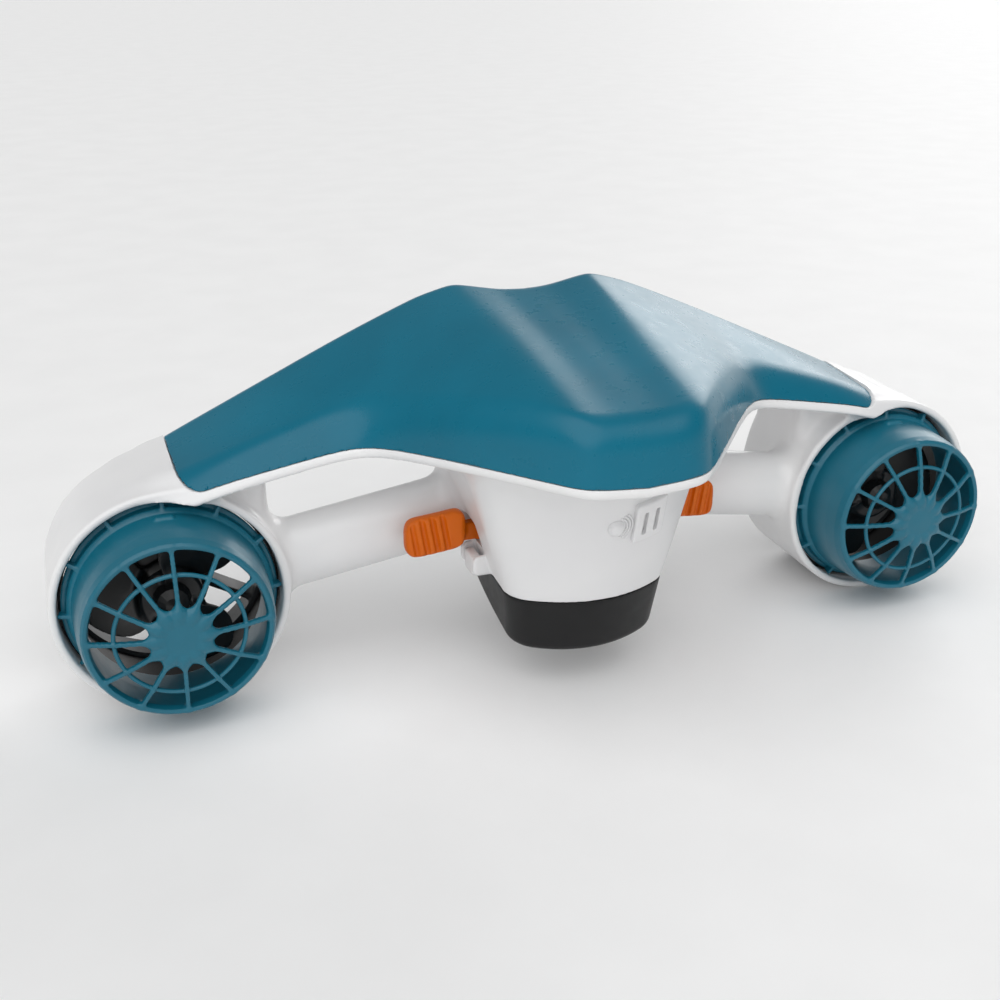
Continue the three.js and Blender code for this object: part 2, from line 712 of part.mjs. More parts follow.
function addFrontFittings() {
  addPiece("power_button", WHITE, onFrontWall(buttonProfile(), BUTTON_X));
  addPiece("tether_plate", WHITE, onFrontWall(makeTetherPlate(), 0));
}

// ---------- electronics and fasteners ----------
function addElectronics() {
  addPiece("contact_block", BLACK, box(-16, 16, -30, -6, 50.4, 60));
  addPiece("control_board", BOARD_GREEN, box(-44, 44, -46, 12, 84, 86));
  const seal = cut(box(-35.5, 35.5, -49.4, 10.4, 4, 7), box(-33.3, 33.3, -47.3, 8.3, 0, 10));
  addPiece("battery_seal", RUBBER, seal);
}

function addCable(side, label) {
  const route = [[46, 0, 90], [80, 22, 87], [120, 34, 80], [160, 42, 71.5], [182, 46, 65.8]];
  const curve = new THREE.CatmullRomCurve3(
    route.map(([u, y, z]) => new THREE.Vector3(side * u, y, z)),
  );
  addPiece(`${label}_motor_cable`, RUBBER, wireAlong(curve, 2.2, 8, 14));
}

function addScrews() {
  for (const { name, u, y } of SCREWS) {
    for (const [side, label] of [[-1, "left"], [1, "right"]]) {
      const under = partingHeight(u) - RIM_HEIGHT - 2 * GAP;
      const screw = join(
        standing(1.5, side * u, y, under - 1, under + 16, 8),
        standing(3.2, side * u, y, under - 2.6, under - 0.6, SMALL),
      );
      addPiece(`${label}_${name}_screw`, STEEL, screw);
    }
  }
}

// ---------- assembly ----------
addPiece("top_shell", TEAL, makeTopShell());
addPiece("chassis_plate", WHITE, makeChassisPlate());
addPiece("center_hub", WHITE, makeHub());
addPiece("battery_pack", BLACK, makeBattery());
for (const [side, label] of [[-1, "left"], [1, "right"]]) {
  addPiece(`${label}_duct`, WHITE, makeDuct(side));
  addPiece(`${label}_handle_bar`, WHITE, makeBar(side));
  addThruster(side, label);
  addControls(side, label);
  addLatch(side, label);
  addCable(side, label);
}
addFrontFittings();
addElectronics();
addScrews();

const part = new THREE.Group();
scooter.position.set(0, -BODY_CENTRE_Y, -BASE_Z);
part.add(scooter);

export default part;
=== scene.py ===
import json
import math
import bpy
import numpy as np
from mathutils import Matrix, Vector


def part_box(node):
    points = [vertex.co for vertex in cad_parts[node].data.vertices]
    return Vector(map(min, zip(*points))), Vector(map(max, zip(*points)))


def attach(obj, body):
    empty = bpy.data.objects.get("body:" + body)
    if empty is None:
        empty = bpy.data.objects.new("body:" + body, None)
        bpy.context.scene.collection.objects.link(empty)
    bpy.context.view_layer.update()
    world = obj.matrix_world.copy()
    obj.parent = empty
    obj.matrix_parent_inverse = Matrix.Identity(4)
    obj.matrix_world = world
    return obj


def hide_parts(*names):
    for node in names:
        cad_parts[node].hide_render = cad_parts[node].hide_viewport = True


# An underwater scooter: a winged teal shell over one white moulding, with a guarded thruster in a
# duct at each wing tip, two grab bars with orange finger triggers and a battery under the hub.
#
# Shapes are worked out in millimetres in a local frame: z = 0 on the duct axes, y = 0 on the duct
# mouths, +y towards the rider. u is the distance from the centre line. Most pieces are fields:
# functions that are negative inside the piece and give about the distance to its surface.

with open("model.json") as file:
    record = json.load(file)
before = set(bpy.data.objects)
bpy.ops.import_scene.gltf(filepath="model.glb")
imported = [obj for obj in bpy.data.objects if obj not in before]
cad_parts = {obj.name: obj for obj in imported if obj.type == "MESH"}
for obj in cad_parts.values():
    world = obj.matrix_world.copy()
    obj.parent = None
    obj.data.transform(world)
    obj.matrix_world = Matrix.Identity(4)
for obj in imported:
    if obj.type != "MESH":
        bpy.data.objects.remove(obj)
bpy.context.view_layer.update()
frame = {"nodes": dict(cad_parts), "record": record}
nodes = frame["nodes"]
SIDES = (("left", -1), ("right", 1))
MM = 0.001


def middle(node):
    """The centre of a CAD node's box, in millimetres."""
    low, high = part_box(node)
    return np.array((low + high) / 2) / MM


# ---------- driving dimensions, from the CAD frame ----------
GUARD_CENTRE = middle("right_motor_can")
DUCT_X = GUARD_CENTRE[0]
AXIS_Z = GUARD_CENTRE[2]
MOUTH_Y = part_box("right_duct")[0].y / MM
DUCT_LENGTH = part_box("right_duct")[1].y / MM - MOUTH_Y
DUCT_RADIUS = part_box("right_duct")[1].x / MM - DUCT_X
DUCT_BORE = DUCT_RADIUS - 4.5
BACK_Y = 65
RIM_HEIGHT = 5.4  # white band under the shell
SHELL_WALL = 3
SEAM = 0.22  # half the groove between two mouldings
TIP_U = 196  # the shell ends here, above the duct, at the height TIP_Z
TIP_Z = 58
TIP_LEAN = 0.3  # its end leans outwards by this much for each millimetre up
TIP_ROUND = 11
COLLAR = 3  # white between the shell and the duct's bore
HUB_FRONT = -63  # the hub's front wall, where hub and battery part on it
HUB_PARTING = -3
HUB_LEAN = 0.26  # the wall leans forward by this much for each millimetre up


# ---------- field helpers ----------
def smooth_min(a, b, reach):
    """The lower of two fields, with a fillet of about that reach where they meet."""
    overlap = np.maximum(reach - np.abs(a - b), 0) / reach
    return np.minimum(a, b) - overlap * overlap * reach / 4


def smooth_max(a, b, reach):
    return -smooth_min(-a, -b, reach)


def smooth_all(fields, reach):
    """What several fields have in common, with its edges rounded."""
    result = fields[0]
    for other in fields[1:]:
        result = smooth_max(result, other, reach)
    return result


def bent(u, value, slope, *bends):
    """A line along u that turns at each (place, new slope, softness), and its slope."""
    height = value + slope * u
    rate = slope + 0 * u
    for place, turned, softness in bends:
        t = (u - place) / softness
        height = height + (turned - slope) * softness * np.logaddexp(0, t)
        rate = rate + (turned - slope) / (1 + np.exp(-np.clip(t, -40, 40)))
        slope = turned
    return height, rate


def rounded_box(x, y, z, centre, size, radius):
    """A box of that full size, its edges and corners rounded."""
    parts = [
        np.abs(value - middle_value) - full / 2 + radius
        for value, middle_value, full in zip((x, y, z), centre, size)
    ]
    outside = np.sqrt(sum(np.maximum(part, 0) ** 2 for part in parts))
    inside = np.minimum(np.maximum(np.maximum(parts[0], parts[1]), parts[2]), 0)
    return outside + inside - radius


def profile_field(r, y, outline):
    """Distance to a closed outline of (r, y) points, negative inside."""
    best = np.full(r.shape, np.inf)
    inside = np.zeros(r.shape, bool)
    count = len(outline)
    for k in range(count):
        r0, y0 = outline[k]
        r1, y1 = outline[(k + 1) % count]
        dr, dy = r1 - r0, y1 - y0
        t = np.clip(((r - r0) * dr + (y - y0) * dy) / (dr * dr + dy * dy), 0, 1)
        best = np.minimum(best, (r - r0 - t * dr) ** 2 + (y - y0 - t * dy) ** 2)
        crosses = (y0 > y) != (y1 > y)
        if dy:
            inside ^= crosses & (r < r0 + (y - y0) * dr / dy)
    return np.where(inside, -1, 1) * np.sqrt(best)


# ---------- the wing: one skin that the shell and the white moulding share ----------
def front_edge(u):
    return bent(u, -113, 0, (30.8, 1.29, 4), (109, 0.06, 6), (186, 0.3, 5))


def parting_height(u):
    return bent(u, 78.3, 0.08, (35, -0.03, 8), (100, -0.2, 8), (178, -0.34, 6))[0]


def crease_height(u):
    return bent(u, 107.5, 0, (15, 0.15, 5), (33, -0.12, 3), (52, -0.275, 8), (176, -0.43, 8))[0]


def crest_height(u):
    return bent(
        u, 132.8, 0, (13, 0.17, 3), (39.5, -0.28, 2), (57, -0.42, 6), (100, -0.465, 9), (208, -0.58, 8)
    )[0]


def wing(x, y, z):
    """The whole wing as one solid: roof, front wall, back wall and underside."""
    u = np.abs(x)
    parting = parting_height(u)
    crease = crease_height(u)
    front, slant = front_edge(u)
    rise = np.clip((z - parting) / (crease - parting), -1, 1.6)
    wall_y = front + 5.5 * rise
    front_wall = (wall_y - y) / np.sqrt(1 + slant * slant)
    along_chord = np.clip((y - front - 5.5) / (60 - front - 5.5), -0.4, 1.3)
    bulge = 9 * np.clip(1 - u / 190, 0, 1) * along_chord * (1 - along_chord)
    roof_z = crease + (crest_height(u) - crease) * along_chord + bulge
    roof = (z - roof_z) / 1.1
    back = y - BACK_Y
    under = parting - RIM_HEIGHT - z
    skin = smooth_max(roof, front_wall, 12)
    skin = smooth_max(skin, back, 9 + 8 * np.clip(1 - u / 60, 0, 1))
    skin = smooth_max(skin, under, 4)
    return smooth_max(skin, u - 226, 6)


def shell_region(x, z):
    """Negative where the surface belongs to the teal shell: above the seam, inside the tips."""
    u = np.abs(x)
    a = parting_height(u) - z + TIP_ROUND
    b = u - TIP_U - TIP_LEAN * (z - TIP_Z) + TIP_ROUND
    corner = np.sqrt(np.maximum(a, 0) ** 2 + np.maximum(b, 0) ** 2)
    region = corner + np.minimum(np.maximum(a, b), 0) - TIP_ROUND
    return smooth_max(region, DUCT_BORE + COLLAR - np.hypot(u - DUCT_X, z), 3)


def shell_field(x, y, z):
    skin = wing(x, y, z)
    piece = smooth_max(skin, shell_region(x, z) + SEAM, 0.8)
    return np.maximum(piece, -(skin + SHELL_WALL))


# ---------- hub and battery ----------
def hub_outside(x, y, z):
    """Hub and battery together: it narrows downwards, with a bowed front and a sloping chin."""
    u = np.abs(x)
    height = z - HUB_PARTING
    half_width = 43.8 + np.where(height > 0, 0.29, 0.1) * height
    front = HUB_FRONT - HUB_LEAN * height + 0.0088 * u * u
    plan = smooth_all([(u - half_width) / 1.04, (front - y) / 1.06, y - 48], 9)
    bottom = -38 - z
    low_rear = 0.208 * (y + 42) - 0.978 * (z + 35.5)
    rear = 0.489 * (y - 5) - 0.872 * (z + 25)
    chin = smooth_all([bottom, low_rear, rear], 6)
    return smooth_max(plan, chin, 5)


def hub_parting(y):
    return HUB_PARTING + 0.076 * np.maximum(y + 38, 0)


BATTERY_CORE = ((0, -19.5, 15), (66, 55, 70))


def battery_field(x, y, z):
    foot = smooth_max(hub_outside(x, y, z), z - hub_parting(y) + SEAM, 1.4)
    return np.minimum(foot, rounded_box(x, y, z, *BATTERY_CORE, 3))


# ---------- the white moulding ----------
def bar_field(x, y, z):
    u = np.abs(x)
    centre_z = 9.8 + 0.155 * (143 - u)
    oval = np.sqrt(((y - 20) / 15) ** 2 + ((z - centre_z) / 19.5) ** 2)
    return smooth_all([(oval - 1) * 16.5, 42 - u, u - 165], 2)


def web_field(u, y, z):
    """Wall between the duct and the underside of the wing, set back from the duct mouth."""
    return smooth_all([153.5 - u, u - DUCT_X, 12 - y, y - DUCT_LENGTH, -4 - z, z - 62], 8)


def tube_field(r, y):
    wall = np.abs(r - (DUCT_RADIUS + DUCT_BORE) / 2) - (DUCT_RADIUS - DUCT_BORE) / 2
    return smooth_all([wall, -y, y - DUCT_LENGTH], 2.4)


def trigger_slot(u, y, z):
    return rounded_box(u, y, z, (50, -7.5, 21), (24, 20, 15), 3)


def latch_lugs(u, y, z):
    """Two rounded ears that carry a latch's pin."""
    lugs = [rounded_box(u, y, z, (48.4, lug_y, 4.6), (13, 3, 11.6), 1.4) for lug_y in (-18.8, 0.8)]
    outline = rounded_box(u, 0 * y, z, (48.4, 0, 4.6), (13, 60, 11.6), 4.6)
    return smooth_max(np.minimum(*lugs), outline, 1)


def white_field(x, y, z):
    u = np.abs(x)
    r = np.hypot(u - DUCT_X, z)
    hub = hub_outside(x, y, z)
    parting = hub_parting(y) + SEAM - z
    body = smooth_min(wing(x, y, z), smooth_max(hub, parting, 1.2), 17)
    body = smooth_min(body, bar_field(x, y, z), 13)
    body = np.where(u < 62, np.maximum(body, parting), body)
    body = smooth_min(body, smooth_min(tube_field(r, y), web_field(u, y, z), 9), 9)
    body = smooth_max(body, DUCT_BORE - r, 1.2)
    body = np.maximum(body, SEAM - shell_region(x, z))
    bay = smooth_max(hub + 3.5, z - 68, 2)
    body = np.maximum(body, -bay)
    body = smooth_max(body, -trigger_slot(u, y, z), 1)
    body = smooth_min(body, np.maximum(latch_lugs(u, y, z), -hub - 3), 1.5)
    floor = -AXIS_Z - z
    return np.maximum(body, floor)


# ---------- intake guard, about the duct axis ----------
SPOKES = 12
GUARD_DRUM = [
    (50.8, 8), (50.8, 2.6), (49.6, 1.2), (48.6, 0.4), (48.3, -6), (47.8, -18), (47, -26), (46, -30),
    (44.8, -31.4), (43.4, -31), (42.6, -28), (43.6, -12), (45.8, 8),
]
CAP_OUTLINE = [(0, -40.4), (9, -39.9), (14, -38.6), (15, -37.6), (14.4, -36.4), (8, -37.4), (0, -37.8)]
HOOP_RADIUS = 31.3
SPOKE_PATH = ((12, -38.2), (HOOP_RADIUS, -34.3), (44.4, -29.6))


def folded_spokes(x, z):
    """Folds the plane so that one spoke on the x axis stands for all of them."""
    step = 2 * math.pi / SPOKES
    r = np.hypot(x, z)
    angle = np.arctan2(z, x)
    angle = angle - step * np.round(angle / step)
    return r, r * np.cos(angle), r * np.sin(angle)


def bar_section(r, y, across, start, end, width, depth):
    """A straight bar in the plane of a spoke, from (r, y) start to end, rectangular and rounded."""
    dr, dy = end[0] - start[0], end[1] - start[1]
    length = math.hypot(dr, dy)
    dr, dy = dr / length, dy / length
    t = (r - start[0]) * dr + (y - start[1]) * dy
    off = -(r - start[0]) * dy + (y - start[1]) * dr
    return rounded_box(t, off, across, (length / 2, 0, 0), (length + 1.5, depth, width), 0.7)


def guard_field(x, y, z):
    r, along_spoke, across = folded_spokes(x, z)
    drum = profile_field(r, y, GUARD_DRUM) - 0.3
    cap = profile_field(r, y, CAP_OUTLINE) - 0.3
    inner = bar_section(along_spoke, y, across, *SPOKE_PATH[:2], 2.1, 2.6)
    outer = bar_section(along_spoke, y, across, *SPOKE_PATH[1:], 2.1, 2.6)
    spokes = np.minimum(inner, outer)
    grille = smooth_min(cap, spokes, 5)
    hoop = np.hypot(r - HOOP_RADIUS, (y + 33.6) * 0.9) - 1.05
    grille = smooth_min(grille, hoop, 0.8)
    ribs = bar_section(along_spoke, y, across, (47.5, 3.6), (54.2, 5.6), 2, 5.4)
    flange = rounded_box(r, y, 0 * r, (51, 8.4, 0), (5.4, 2.6, 9), 0.8)
    guard = smooth_min(drum, np.minimum(ribs, flange), 1.2)
    tab = rounded_box(x, y, z, (0, -4, 47.6), (9, 4.4, 4), 1.2)
    guard = smooth_min(guard, tab, 2)
    return smooth_min(guard, grille, 2.2)


# ---------- nozzle frame behind the propeller ----------
NOZZLE_RING = [(51.4, 43.6), (54.9, 43.6), (54.9, 60.4), (52.4, 60.4)]
MOTOR_CUP = [(21.4, 40), (24, 40), (24.4, 50), (21, 57), (13, 61.4), (0, 63.4), (0, 59), (12, 57),
             (18, 53), (21.4, 49)]


# Painted shade: a thin black sleeve just inside the white duct bore, darkening the duct's inside where
# it is only in shade.
SHADE_SLEEVE_RADIUS = 54.3
SHADE_SLEEVE_SPAN = (10.4, 43.2)


def painted_shade_sleeve_field(x, y, z):
    """Dark sleeve on the duct's wall, between the guard and the nozzle frame. It is painted shade: a
    black sheet over the white bore that stands for the shade inside the duct.
    """
    wall = np.abs(np.hypot(x, z) - SHADE_SLEEVE_RADIUS) - 0.7
    return smooth_all([wall, SHADE_SLEEVE_SPAN[0] - y, y - SHADE_SLEEVE_SPAN[1]], 0.6)


def nozzle_field(x, y, z):
    r = np.hypot(x, z)
    ring = profile_field(r, y, NOZZLE_RING) - 0.2
    cup = profile_field(r, y, MOTOR_CUP) - 0.2
    piece = np.minimum(ring, cup)
    for degrees in (90, 210, 330):
        angle = math.radians(degrees)
        c, s = math.cos(angle), math.sin(angle)
        out, across = x * c + z * s, z * c - x * s
        twist = across + 0.14 * (y - 51)
        arm = rounded_box(out, y, twist, (38, 51, 0), (31, 12, 3.2), 1.3)
        piece = smooth_min(piece, arm, 3)
    return piece


# ---------- triggers and latches, for the right side ----------
TRIGGER_PIN = (45, -5)
PADDLE_X = 72.2
LATCH_PIN = (51.7, 6)


def trigger_field(x, y, z):
    rise = z - 0.1 * (PADDLE_X - x)
    bow = y - 0.004 * (x - 72) ** 2
    paddle = rounded_box(x, bow, rise, (PADDLE_X, -10.5, 23), (34, 8.8, 22.8), 4.2)
    corners = rounded_box(x, 0 * y, rise, (PADDLE_X, 0, 23), (34, 60, 22.8), 9)
    piece = smooth_max(paddle, corners, 2)
    for k in range(4):
        centre = 84 - 5.6 * k - 0.16 * (21 - z)
        groove = np.hypot(x - centre, (y + 15.2) * 0.7) - 1.7
        piece = smooth_max(piece, -groove, 0.6)
    stem = rounded_box(x, y, z, (52.5, -5.5, 20), (15, 6.4, 9.8), 1.2)
    from_pin = np.hypot(x - TRIGGER_PIN[0], y - TRIGGER_PIN[1])
    eye = smooth_all([from_pin - 4.2, np.abs(z - 20) - 4.9], 0.8)
    piece = smooth_min(piece, smooth_min(stem, eye, 1.5), 3)
    return smooth_max(piece, 2.3 - from_pin, 0.5)


def latch_field(x, y, z):
    finger = rounded_box(x, y, z, (51.3, -9, 2.8), (5.2, 15.4, 12.6), 2.3)
    outline = rounded_box(0 * x, y, z, (0, -9, 2.8), (60, 15.4, 12.6), 5)
    finger = smooth_max(finger, outline, 1)
    toe = rounded_box(x, y, z, (48.8, -9, -1.6), (3, 11.6, 2.4), 1)
    bore = 1.5 - np.hypot(x - LATCH_PIN[0], z - LATCH_PIN[1])
    return smooth_max(smooth_min(finger, toe, 1), bore, 0.3)


# ---------- fittings on the hub's front wall ----------
FITTING_TILT = 0.255  # the wall's lean as an angle
FITTING_X = 1.5
FITTING_Z = 42
BUTTON_RADIUS = 4.4


def wall_frame(x, y, z):
    """Coordinates about the button: across the wall, depth into it, and up it."""
    c, s = math.cos(FITTING_TILT), math.sin(FITTING_TILT)
    wall_y = HUB_FRONT - HUB_LEAN * (FITTING_Z - HUB_PARTING)
    dy, dz = y - wall_y, z - FITTING_Z
    return x - FITTING_X, dy * c + dz * s, dz * c - dy * s


def button_field(x, y, z):
    across, depth, up = wall_frame(x, y, z)
    r = np.hypot(across, up)
    stem = smooth_all([r - BUTTON_RADIUS, -depth - 1, depth - 7], 0.8)
    dome = smooth_max(np.sqrt(r * r + (depth - 0.6) ** 2) - BUTTON_RADIUS, depth - 1, 0.6)
    return smooth_min(stem, dome, 0.4)


def strap_plate_field(x, y, z):
    """Raised plate that follows the bowed wall, with two upright slots for a wrist strap."""
    across, _, up = wall_frame(x, y, z)
    depth = -hub_outside(x, y, z)
    plate = rounded_box(across, depth, up, (19, -0.5, 1), (19, 5, 23), 1.2)
    for centre in (15.4, 22.6):
        slot = rounded_box(across, depth, up, (centre, -2, 0.6), (2.6, 9, 13.5), 1)
        plate = smooth_max(plate, -slot, 0.5)
    return plate


def ripple_field(x, y, z):
    """Three raised arcs between the button and the strap plate."""
    across, _, up = wall_frame(x, y, z)
    depth = -hub_outside(x, y, z)
    r = np.hypot(across, up)
    bearing = np.abs(np.arctan2(up, across))
    arcs = np.full(r.shape, 1e3)
    for radius, reach in ((5.9, 1.2), (7.5, 1.05), (9, 0.95)):
        line = np.hypot(r - radius, (depth + 0.1) * 0.7) - 0.62
        arcs = np.minimum(arcs, smooth_max(line, (bearing - reach) * radius, 0.6))
    return np.maximum(arcs, depth - 0.6)


# ---------- turning a field into a mesh ----------
BLOCK = 8


def sampled(field, low, counts, step):
    """The field at every grid node: measured near the surface, and only by sign far from it."""
    blocks = -(-counts // BLOCK)
    centres = [low[k] + (np.arange(blocks[k]) + 0.5) * BLOCK * step for k in range(3)]
    rough = field(*np.meshgrid(*centres, indexing="ij"))
    values = rough
    for axis in range(3):
        values = np.repeat(values, BLOCK, axis)
        values = np.concatenate([values, values.take([-1], axis)], axis)
    near = np.argwhere(np.abs(rough) < 1.5 * BLOCK * step)
    corner = np.indices((BLOCK + 1,) * 3).reshape(3, -1).T
    for batch in np.array_split(near, max(1, len(near) // 400)):
        index = (batch[:, None, :] * BLOCK + corner[None]).reshape(-1, 3)
        points = low + index * step
        values[tuple(index.T)] = field(*points.T)
    return values


def gradient(field, points, reach):
    slopes = []
    for axis in range(3):
        shift = np.zeros(3)
        shift[axis] = reach
        slopes.append(field(*(points + shift).T) - field(*(points - shift).T))
    slopes = np.stack(slopes, 1)
    return slopes / np.maximum(np.linalg.norm(slopes, axis=1, keepdims=True), 1e-9)


def evened(field, vertices, faces, smooth, step):
    """Spreads the vertices of smooth areas evenly, so that no face there is a thin sliver."""
    total = len(vertices)
    reach = 0.1 * step
    for _ in range(2):
        middles = vertices[faces].mean(1)
        sums, count = np.zeros((total, 3)), np.zeros(total)
        for column in faces.T:
            count += np.bincount(column, minlength=total)
            for axis in range(3):
                sums[:, axis] += np.bincount(column, middles[:, axis], total)
        moved = sums[smooth] / np.maximum(count[smooth], 1)[:, None]
        normals = gradient(field, moved, reach)
        ahead = field(*(moved + reach * normals).T)
        behind = field(*(moved - reach * normals).T)
        rate = np.maximum((ahead - behind) / (2 * reach), 0.3)
        height = (ahead + behind) / 2 / rate
        vertices[smooth] = moved - height[:, None] * normals
    return vertices


def surface_of(field, low, high, step):
    """Vertices, faces and normals where the field is zero. Each grid cell that the surface
    crosses gets one vertex, placed where the tangent planes at its crossings meet, which
    keeps edges sharp."""
    low, high = np.array(low, float), np.array(high, float)
    counts = np.ceil((high - low) / step).astype(int)
    values = sampled(field, low, counts, step)
    size = np.array(values.shape)
    inside = values < 0
    cell_count = size - 1
    sums = np.zeros(tuple(cell_count), np.int8)
    for corner in np.ndindex(2, 2, 2):
        window = tuple(slice(c, c + n) for c, n in zip(corner, cell_count))
        sums += inside[window]
    active = (sums > 0) & (sums < 8)
    ids = np.full(active.shape, -1)
    ids[active] = np.arange(active.sum())
    cells = np.argwhere(active)
    total = len(cells)
    normal_sum = np.zeros((total, 3, 3))
    plane_sum = np.zeros((total, 3))
    point_sum = np.zeros((total, 3))
    hits = np.zeros(total)
    quads = []
    for axis in range(3):
        first = inside.take(np.arange(size[axis] - 1), axis)
        second = inside.take(np.arange(1, size[axis]), axis)
        edges = np.argwhere(first != second)
        b, c = (axis + 1) % 3, (axis + 2) % 3
        keep = (edges[:, b] > 0) & (edges[:, c] > 0)
        keep &= (edges[:, b] < size[b] - 1) & (edges[:, c] < size[c] - 1)
        edges = edges[keep]
        along_axis = np.eye(3, dtype=int)[axis]
        start = values[tuple(edges.T)]
        end = values[tuple((edges + along_axis).T)]
        lower, upper = np.zeros(len(edges)), np.ones(len(edges))
        share = start / (start - end)
        for _ in range(3):
            points = low + (edges + share[:, None] * along_axis) * step
            found = field(*points.T)
            left = (found < 0) == (start < 0)
            lower, start = np.where(left, share, lower), np.where(left, found, start)
            upper, end = np.where(left, upper, share), np.where(left, end, found)
            share = lower + (upper - lower) * start / np.where(start == end, 1, start - end)
        points = low + (edges + share[:, None] * along_axis) * step
        normals = gradient(field, points, 0.04 * step)
        outer = normals[:, :, None] * normals[:, None, :]
        depth = (normals * points).sum(1)
        around = []
        for db, dc in ((-1, -1), (0, -1), (0, 0), (-1, 0)):
            cell = edges.copy()
            cell[:, b] += db
            cell[:, c] += dc
            cell_id = ids[tuple(cell.T)]
            around.append(cell_id)
            for i in range(3):
                plane_sum[:, i] += np.bincount(cell_id, normals[:, i] * depth, total)
                point_sum[:, i] += np.bincount(cell_id, points[:, i], total)
                for j in range(3):
                    normal_sum[:, i, j] += np.bincount(cell_id, outer[:, i, j], total)
            hits += np.bincount(cell_id, minlength=total)
        quad = np.stack(around, 1)
        flip = ~inside[tuple(edges.T)]
        quad[flip] = quad[flip][:, ::-1]
        quads.append(quad)
    mean = point_sum / np.maximum(hits, 1)[:, None]
    hold = 0.02 * np.eye(3)
    target = plane_sum - np.einsum("nij,nj->ni", normal_sum, mean)
    offset = np.linalg.solve(normal_sum + hold, target[:, :, None])[:, :, 0]
    centre = low + (cells + 0.5) * step
    vertices = np.clip(mean + offset, centre - step / 2, centre + step / 2)
    faces = np.concatenate(quads)
    agreement = np.linalg.eigvalsh(normal_sum)[:, 2] / np.maximum(hits, 1)
    vertices = evened(field, vertices, faces, agreement > 0.93, step)
    return vertices, faces, gradient(field, vertices, 0.15 * step)


def row_frame(points):
    """Millimetres in the local frame to metres in the CAD frame."""
    return (np.asarray(points) + np.array([0, MOUTH_Y, AXIS_Z])) * MM


def object_from(name, vertices, faces, normals):
    """A shown object from arrays. The given normals are used wherever the surface is smooth."""
    mesh = bpy.data.meshes.new(name)
    mesh.from_pydata(row_frame(vertices).tolist(), [], faces.tolist())
    mesh.validate()
    mesh.shade_smooth()
    if len(mesh.loops) == faces.size:
        face_normals = np.zeros(len(mesh.polygons) * 3)
        mesh.polygons.foreach_get("normal", face_normals)
        flat = np.repeat(face_normals.reshape(-1, 3), faces.shape[1], 0)
        corner_of = np.zeros(len(mesh.loops), int)
        mesh.loops.foreach_get("vertex_index", corner_of)
        smooth = normals[corner_of]
        areas = np.zeros(len(mesh.polygons))
        mesh.polygons.foreach_get("area", areas)
        tiny = np.repeat(areas < 0.1 * np.median(areas), faces.shape[1])
        agree = tiny | ((smooth * flat).sum(1) > 0.82)
        mesh.normals_split_custom_set(np.where(agree[:, None], smooth, flat).tolist())
    piece = bpy.data.objects.new(name, mesh)
    bpy.context.scene.collection.objects.link(piece)
    return piece


def mirrored(vertices, faces, normals):
    flip = np.array([-1, 1, 1])
    return vertices * flip, faces[:, ::-1], normals * flip


def placed(piece, body, slot, material, *stands_for):
    """Gives a finished piece its body and finish, and hides the CAD nodes that it stands for."""
    piece.data.materials.append(material)
    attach(piece, body)
    if stands_for:
        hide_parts(*stands_for)
    return piece


# ---------- propeller ----------
BLADES = 3
BLADE_RADIUS = 45.6
BLADE_RISE = 10.5  # mm along the axis for each radian
BLADE_MIDDLE = 12.6
HUB_OUTLINE = [(0, 5.6), (14.8, 5.6), (16.3, 7), (16.3, 20.2), (13.6, 20.2), (13.6, 18), (0, 18)]


def propeller_field(x, y, z):
    r = np.hypot(x, z)
    turn = 2 * math.pi / BLADES
    angle = np.arctan2(z, x) - 0.007 * (r - 16)
    angle = angle - turn * np.round(angle / turn)
    sheet = y - BLADE_MIDDLE - BLADE_RISE * angle - 1.2 * np.cos(2.6 * angle)
    slope = np.maximum(r, 6) / np.hypot(np.maximum(r, 6), BLADE_RISE)
    half_width = 8.5 + 12.5 * np.sin(np.clip((r - 13) / 38, 0, 1) * math.pi)
    thick = 0.75 + 0.7 * np.clip(1 - np.abs(angle) * r / half_width, 0, 1) + 0.02 * (46 - r)
    blade = smooth_max(np.abs(sheet) * slope - thick, (np.abs(angle) * r - half_width) * 0.8, 0.8)
    blade = smooth_all([blade, r - BLADE_RADIUS, 9 - r], 5)
    hub = profile_field(r, y, HUB_OUTLINE)
    piece = smooth_min(blade, hub, 4)
    return np.maximum(piece, 3.3 - r)


# ---------- finishes ----------
def srgb(red, green, blue):
    """A display colour, 0 to 255, as the linear colour that a shader takes."""
    linear = [
        v / 255 / 12.92 if v <= 10 else ((v / 255 + 0.055) / 1.055) ** 2.4 for v in (red, green, blue)
    ]
    return (*linear, 1)


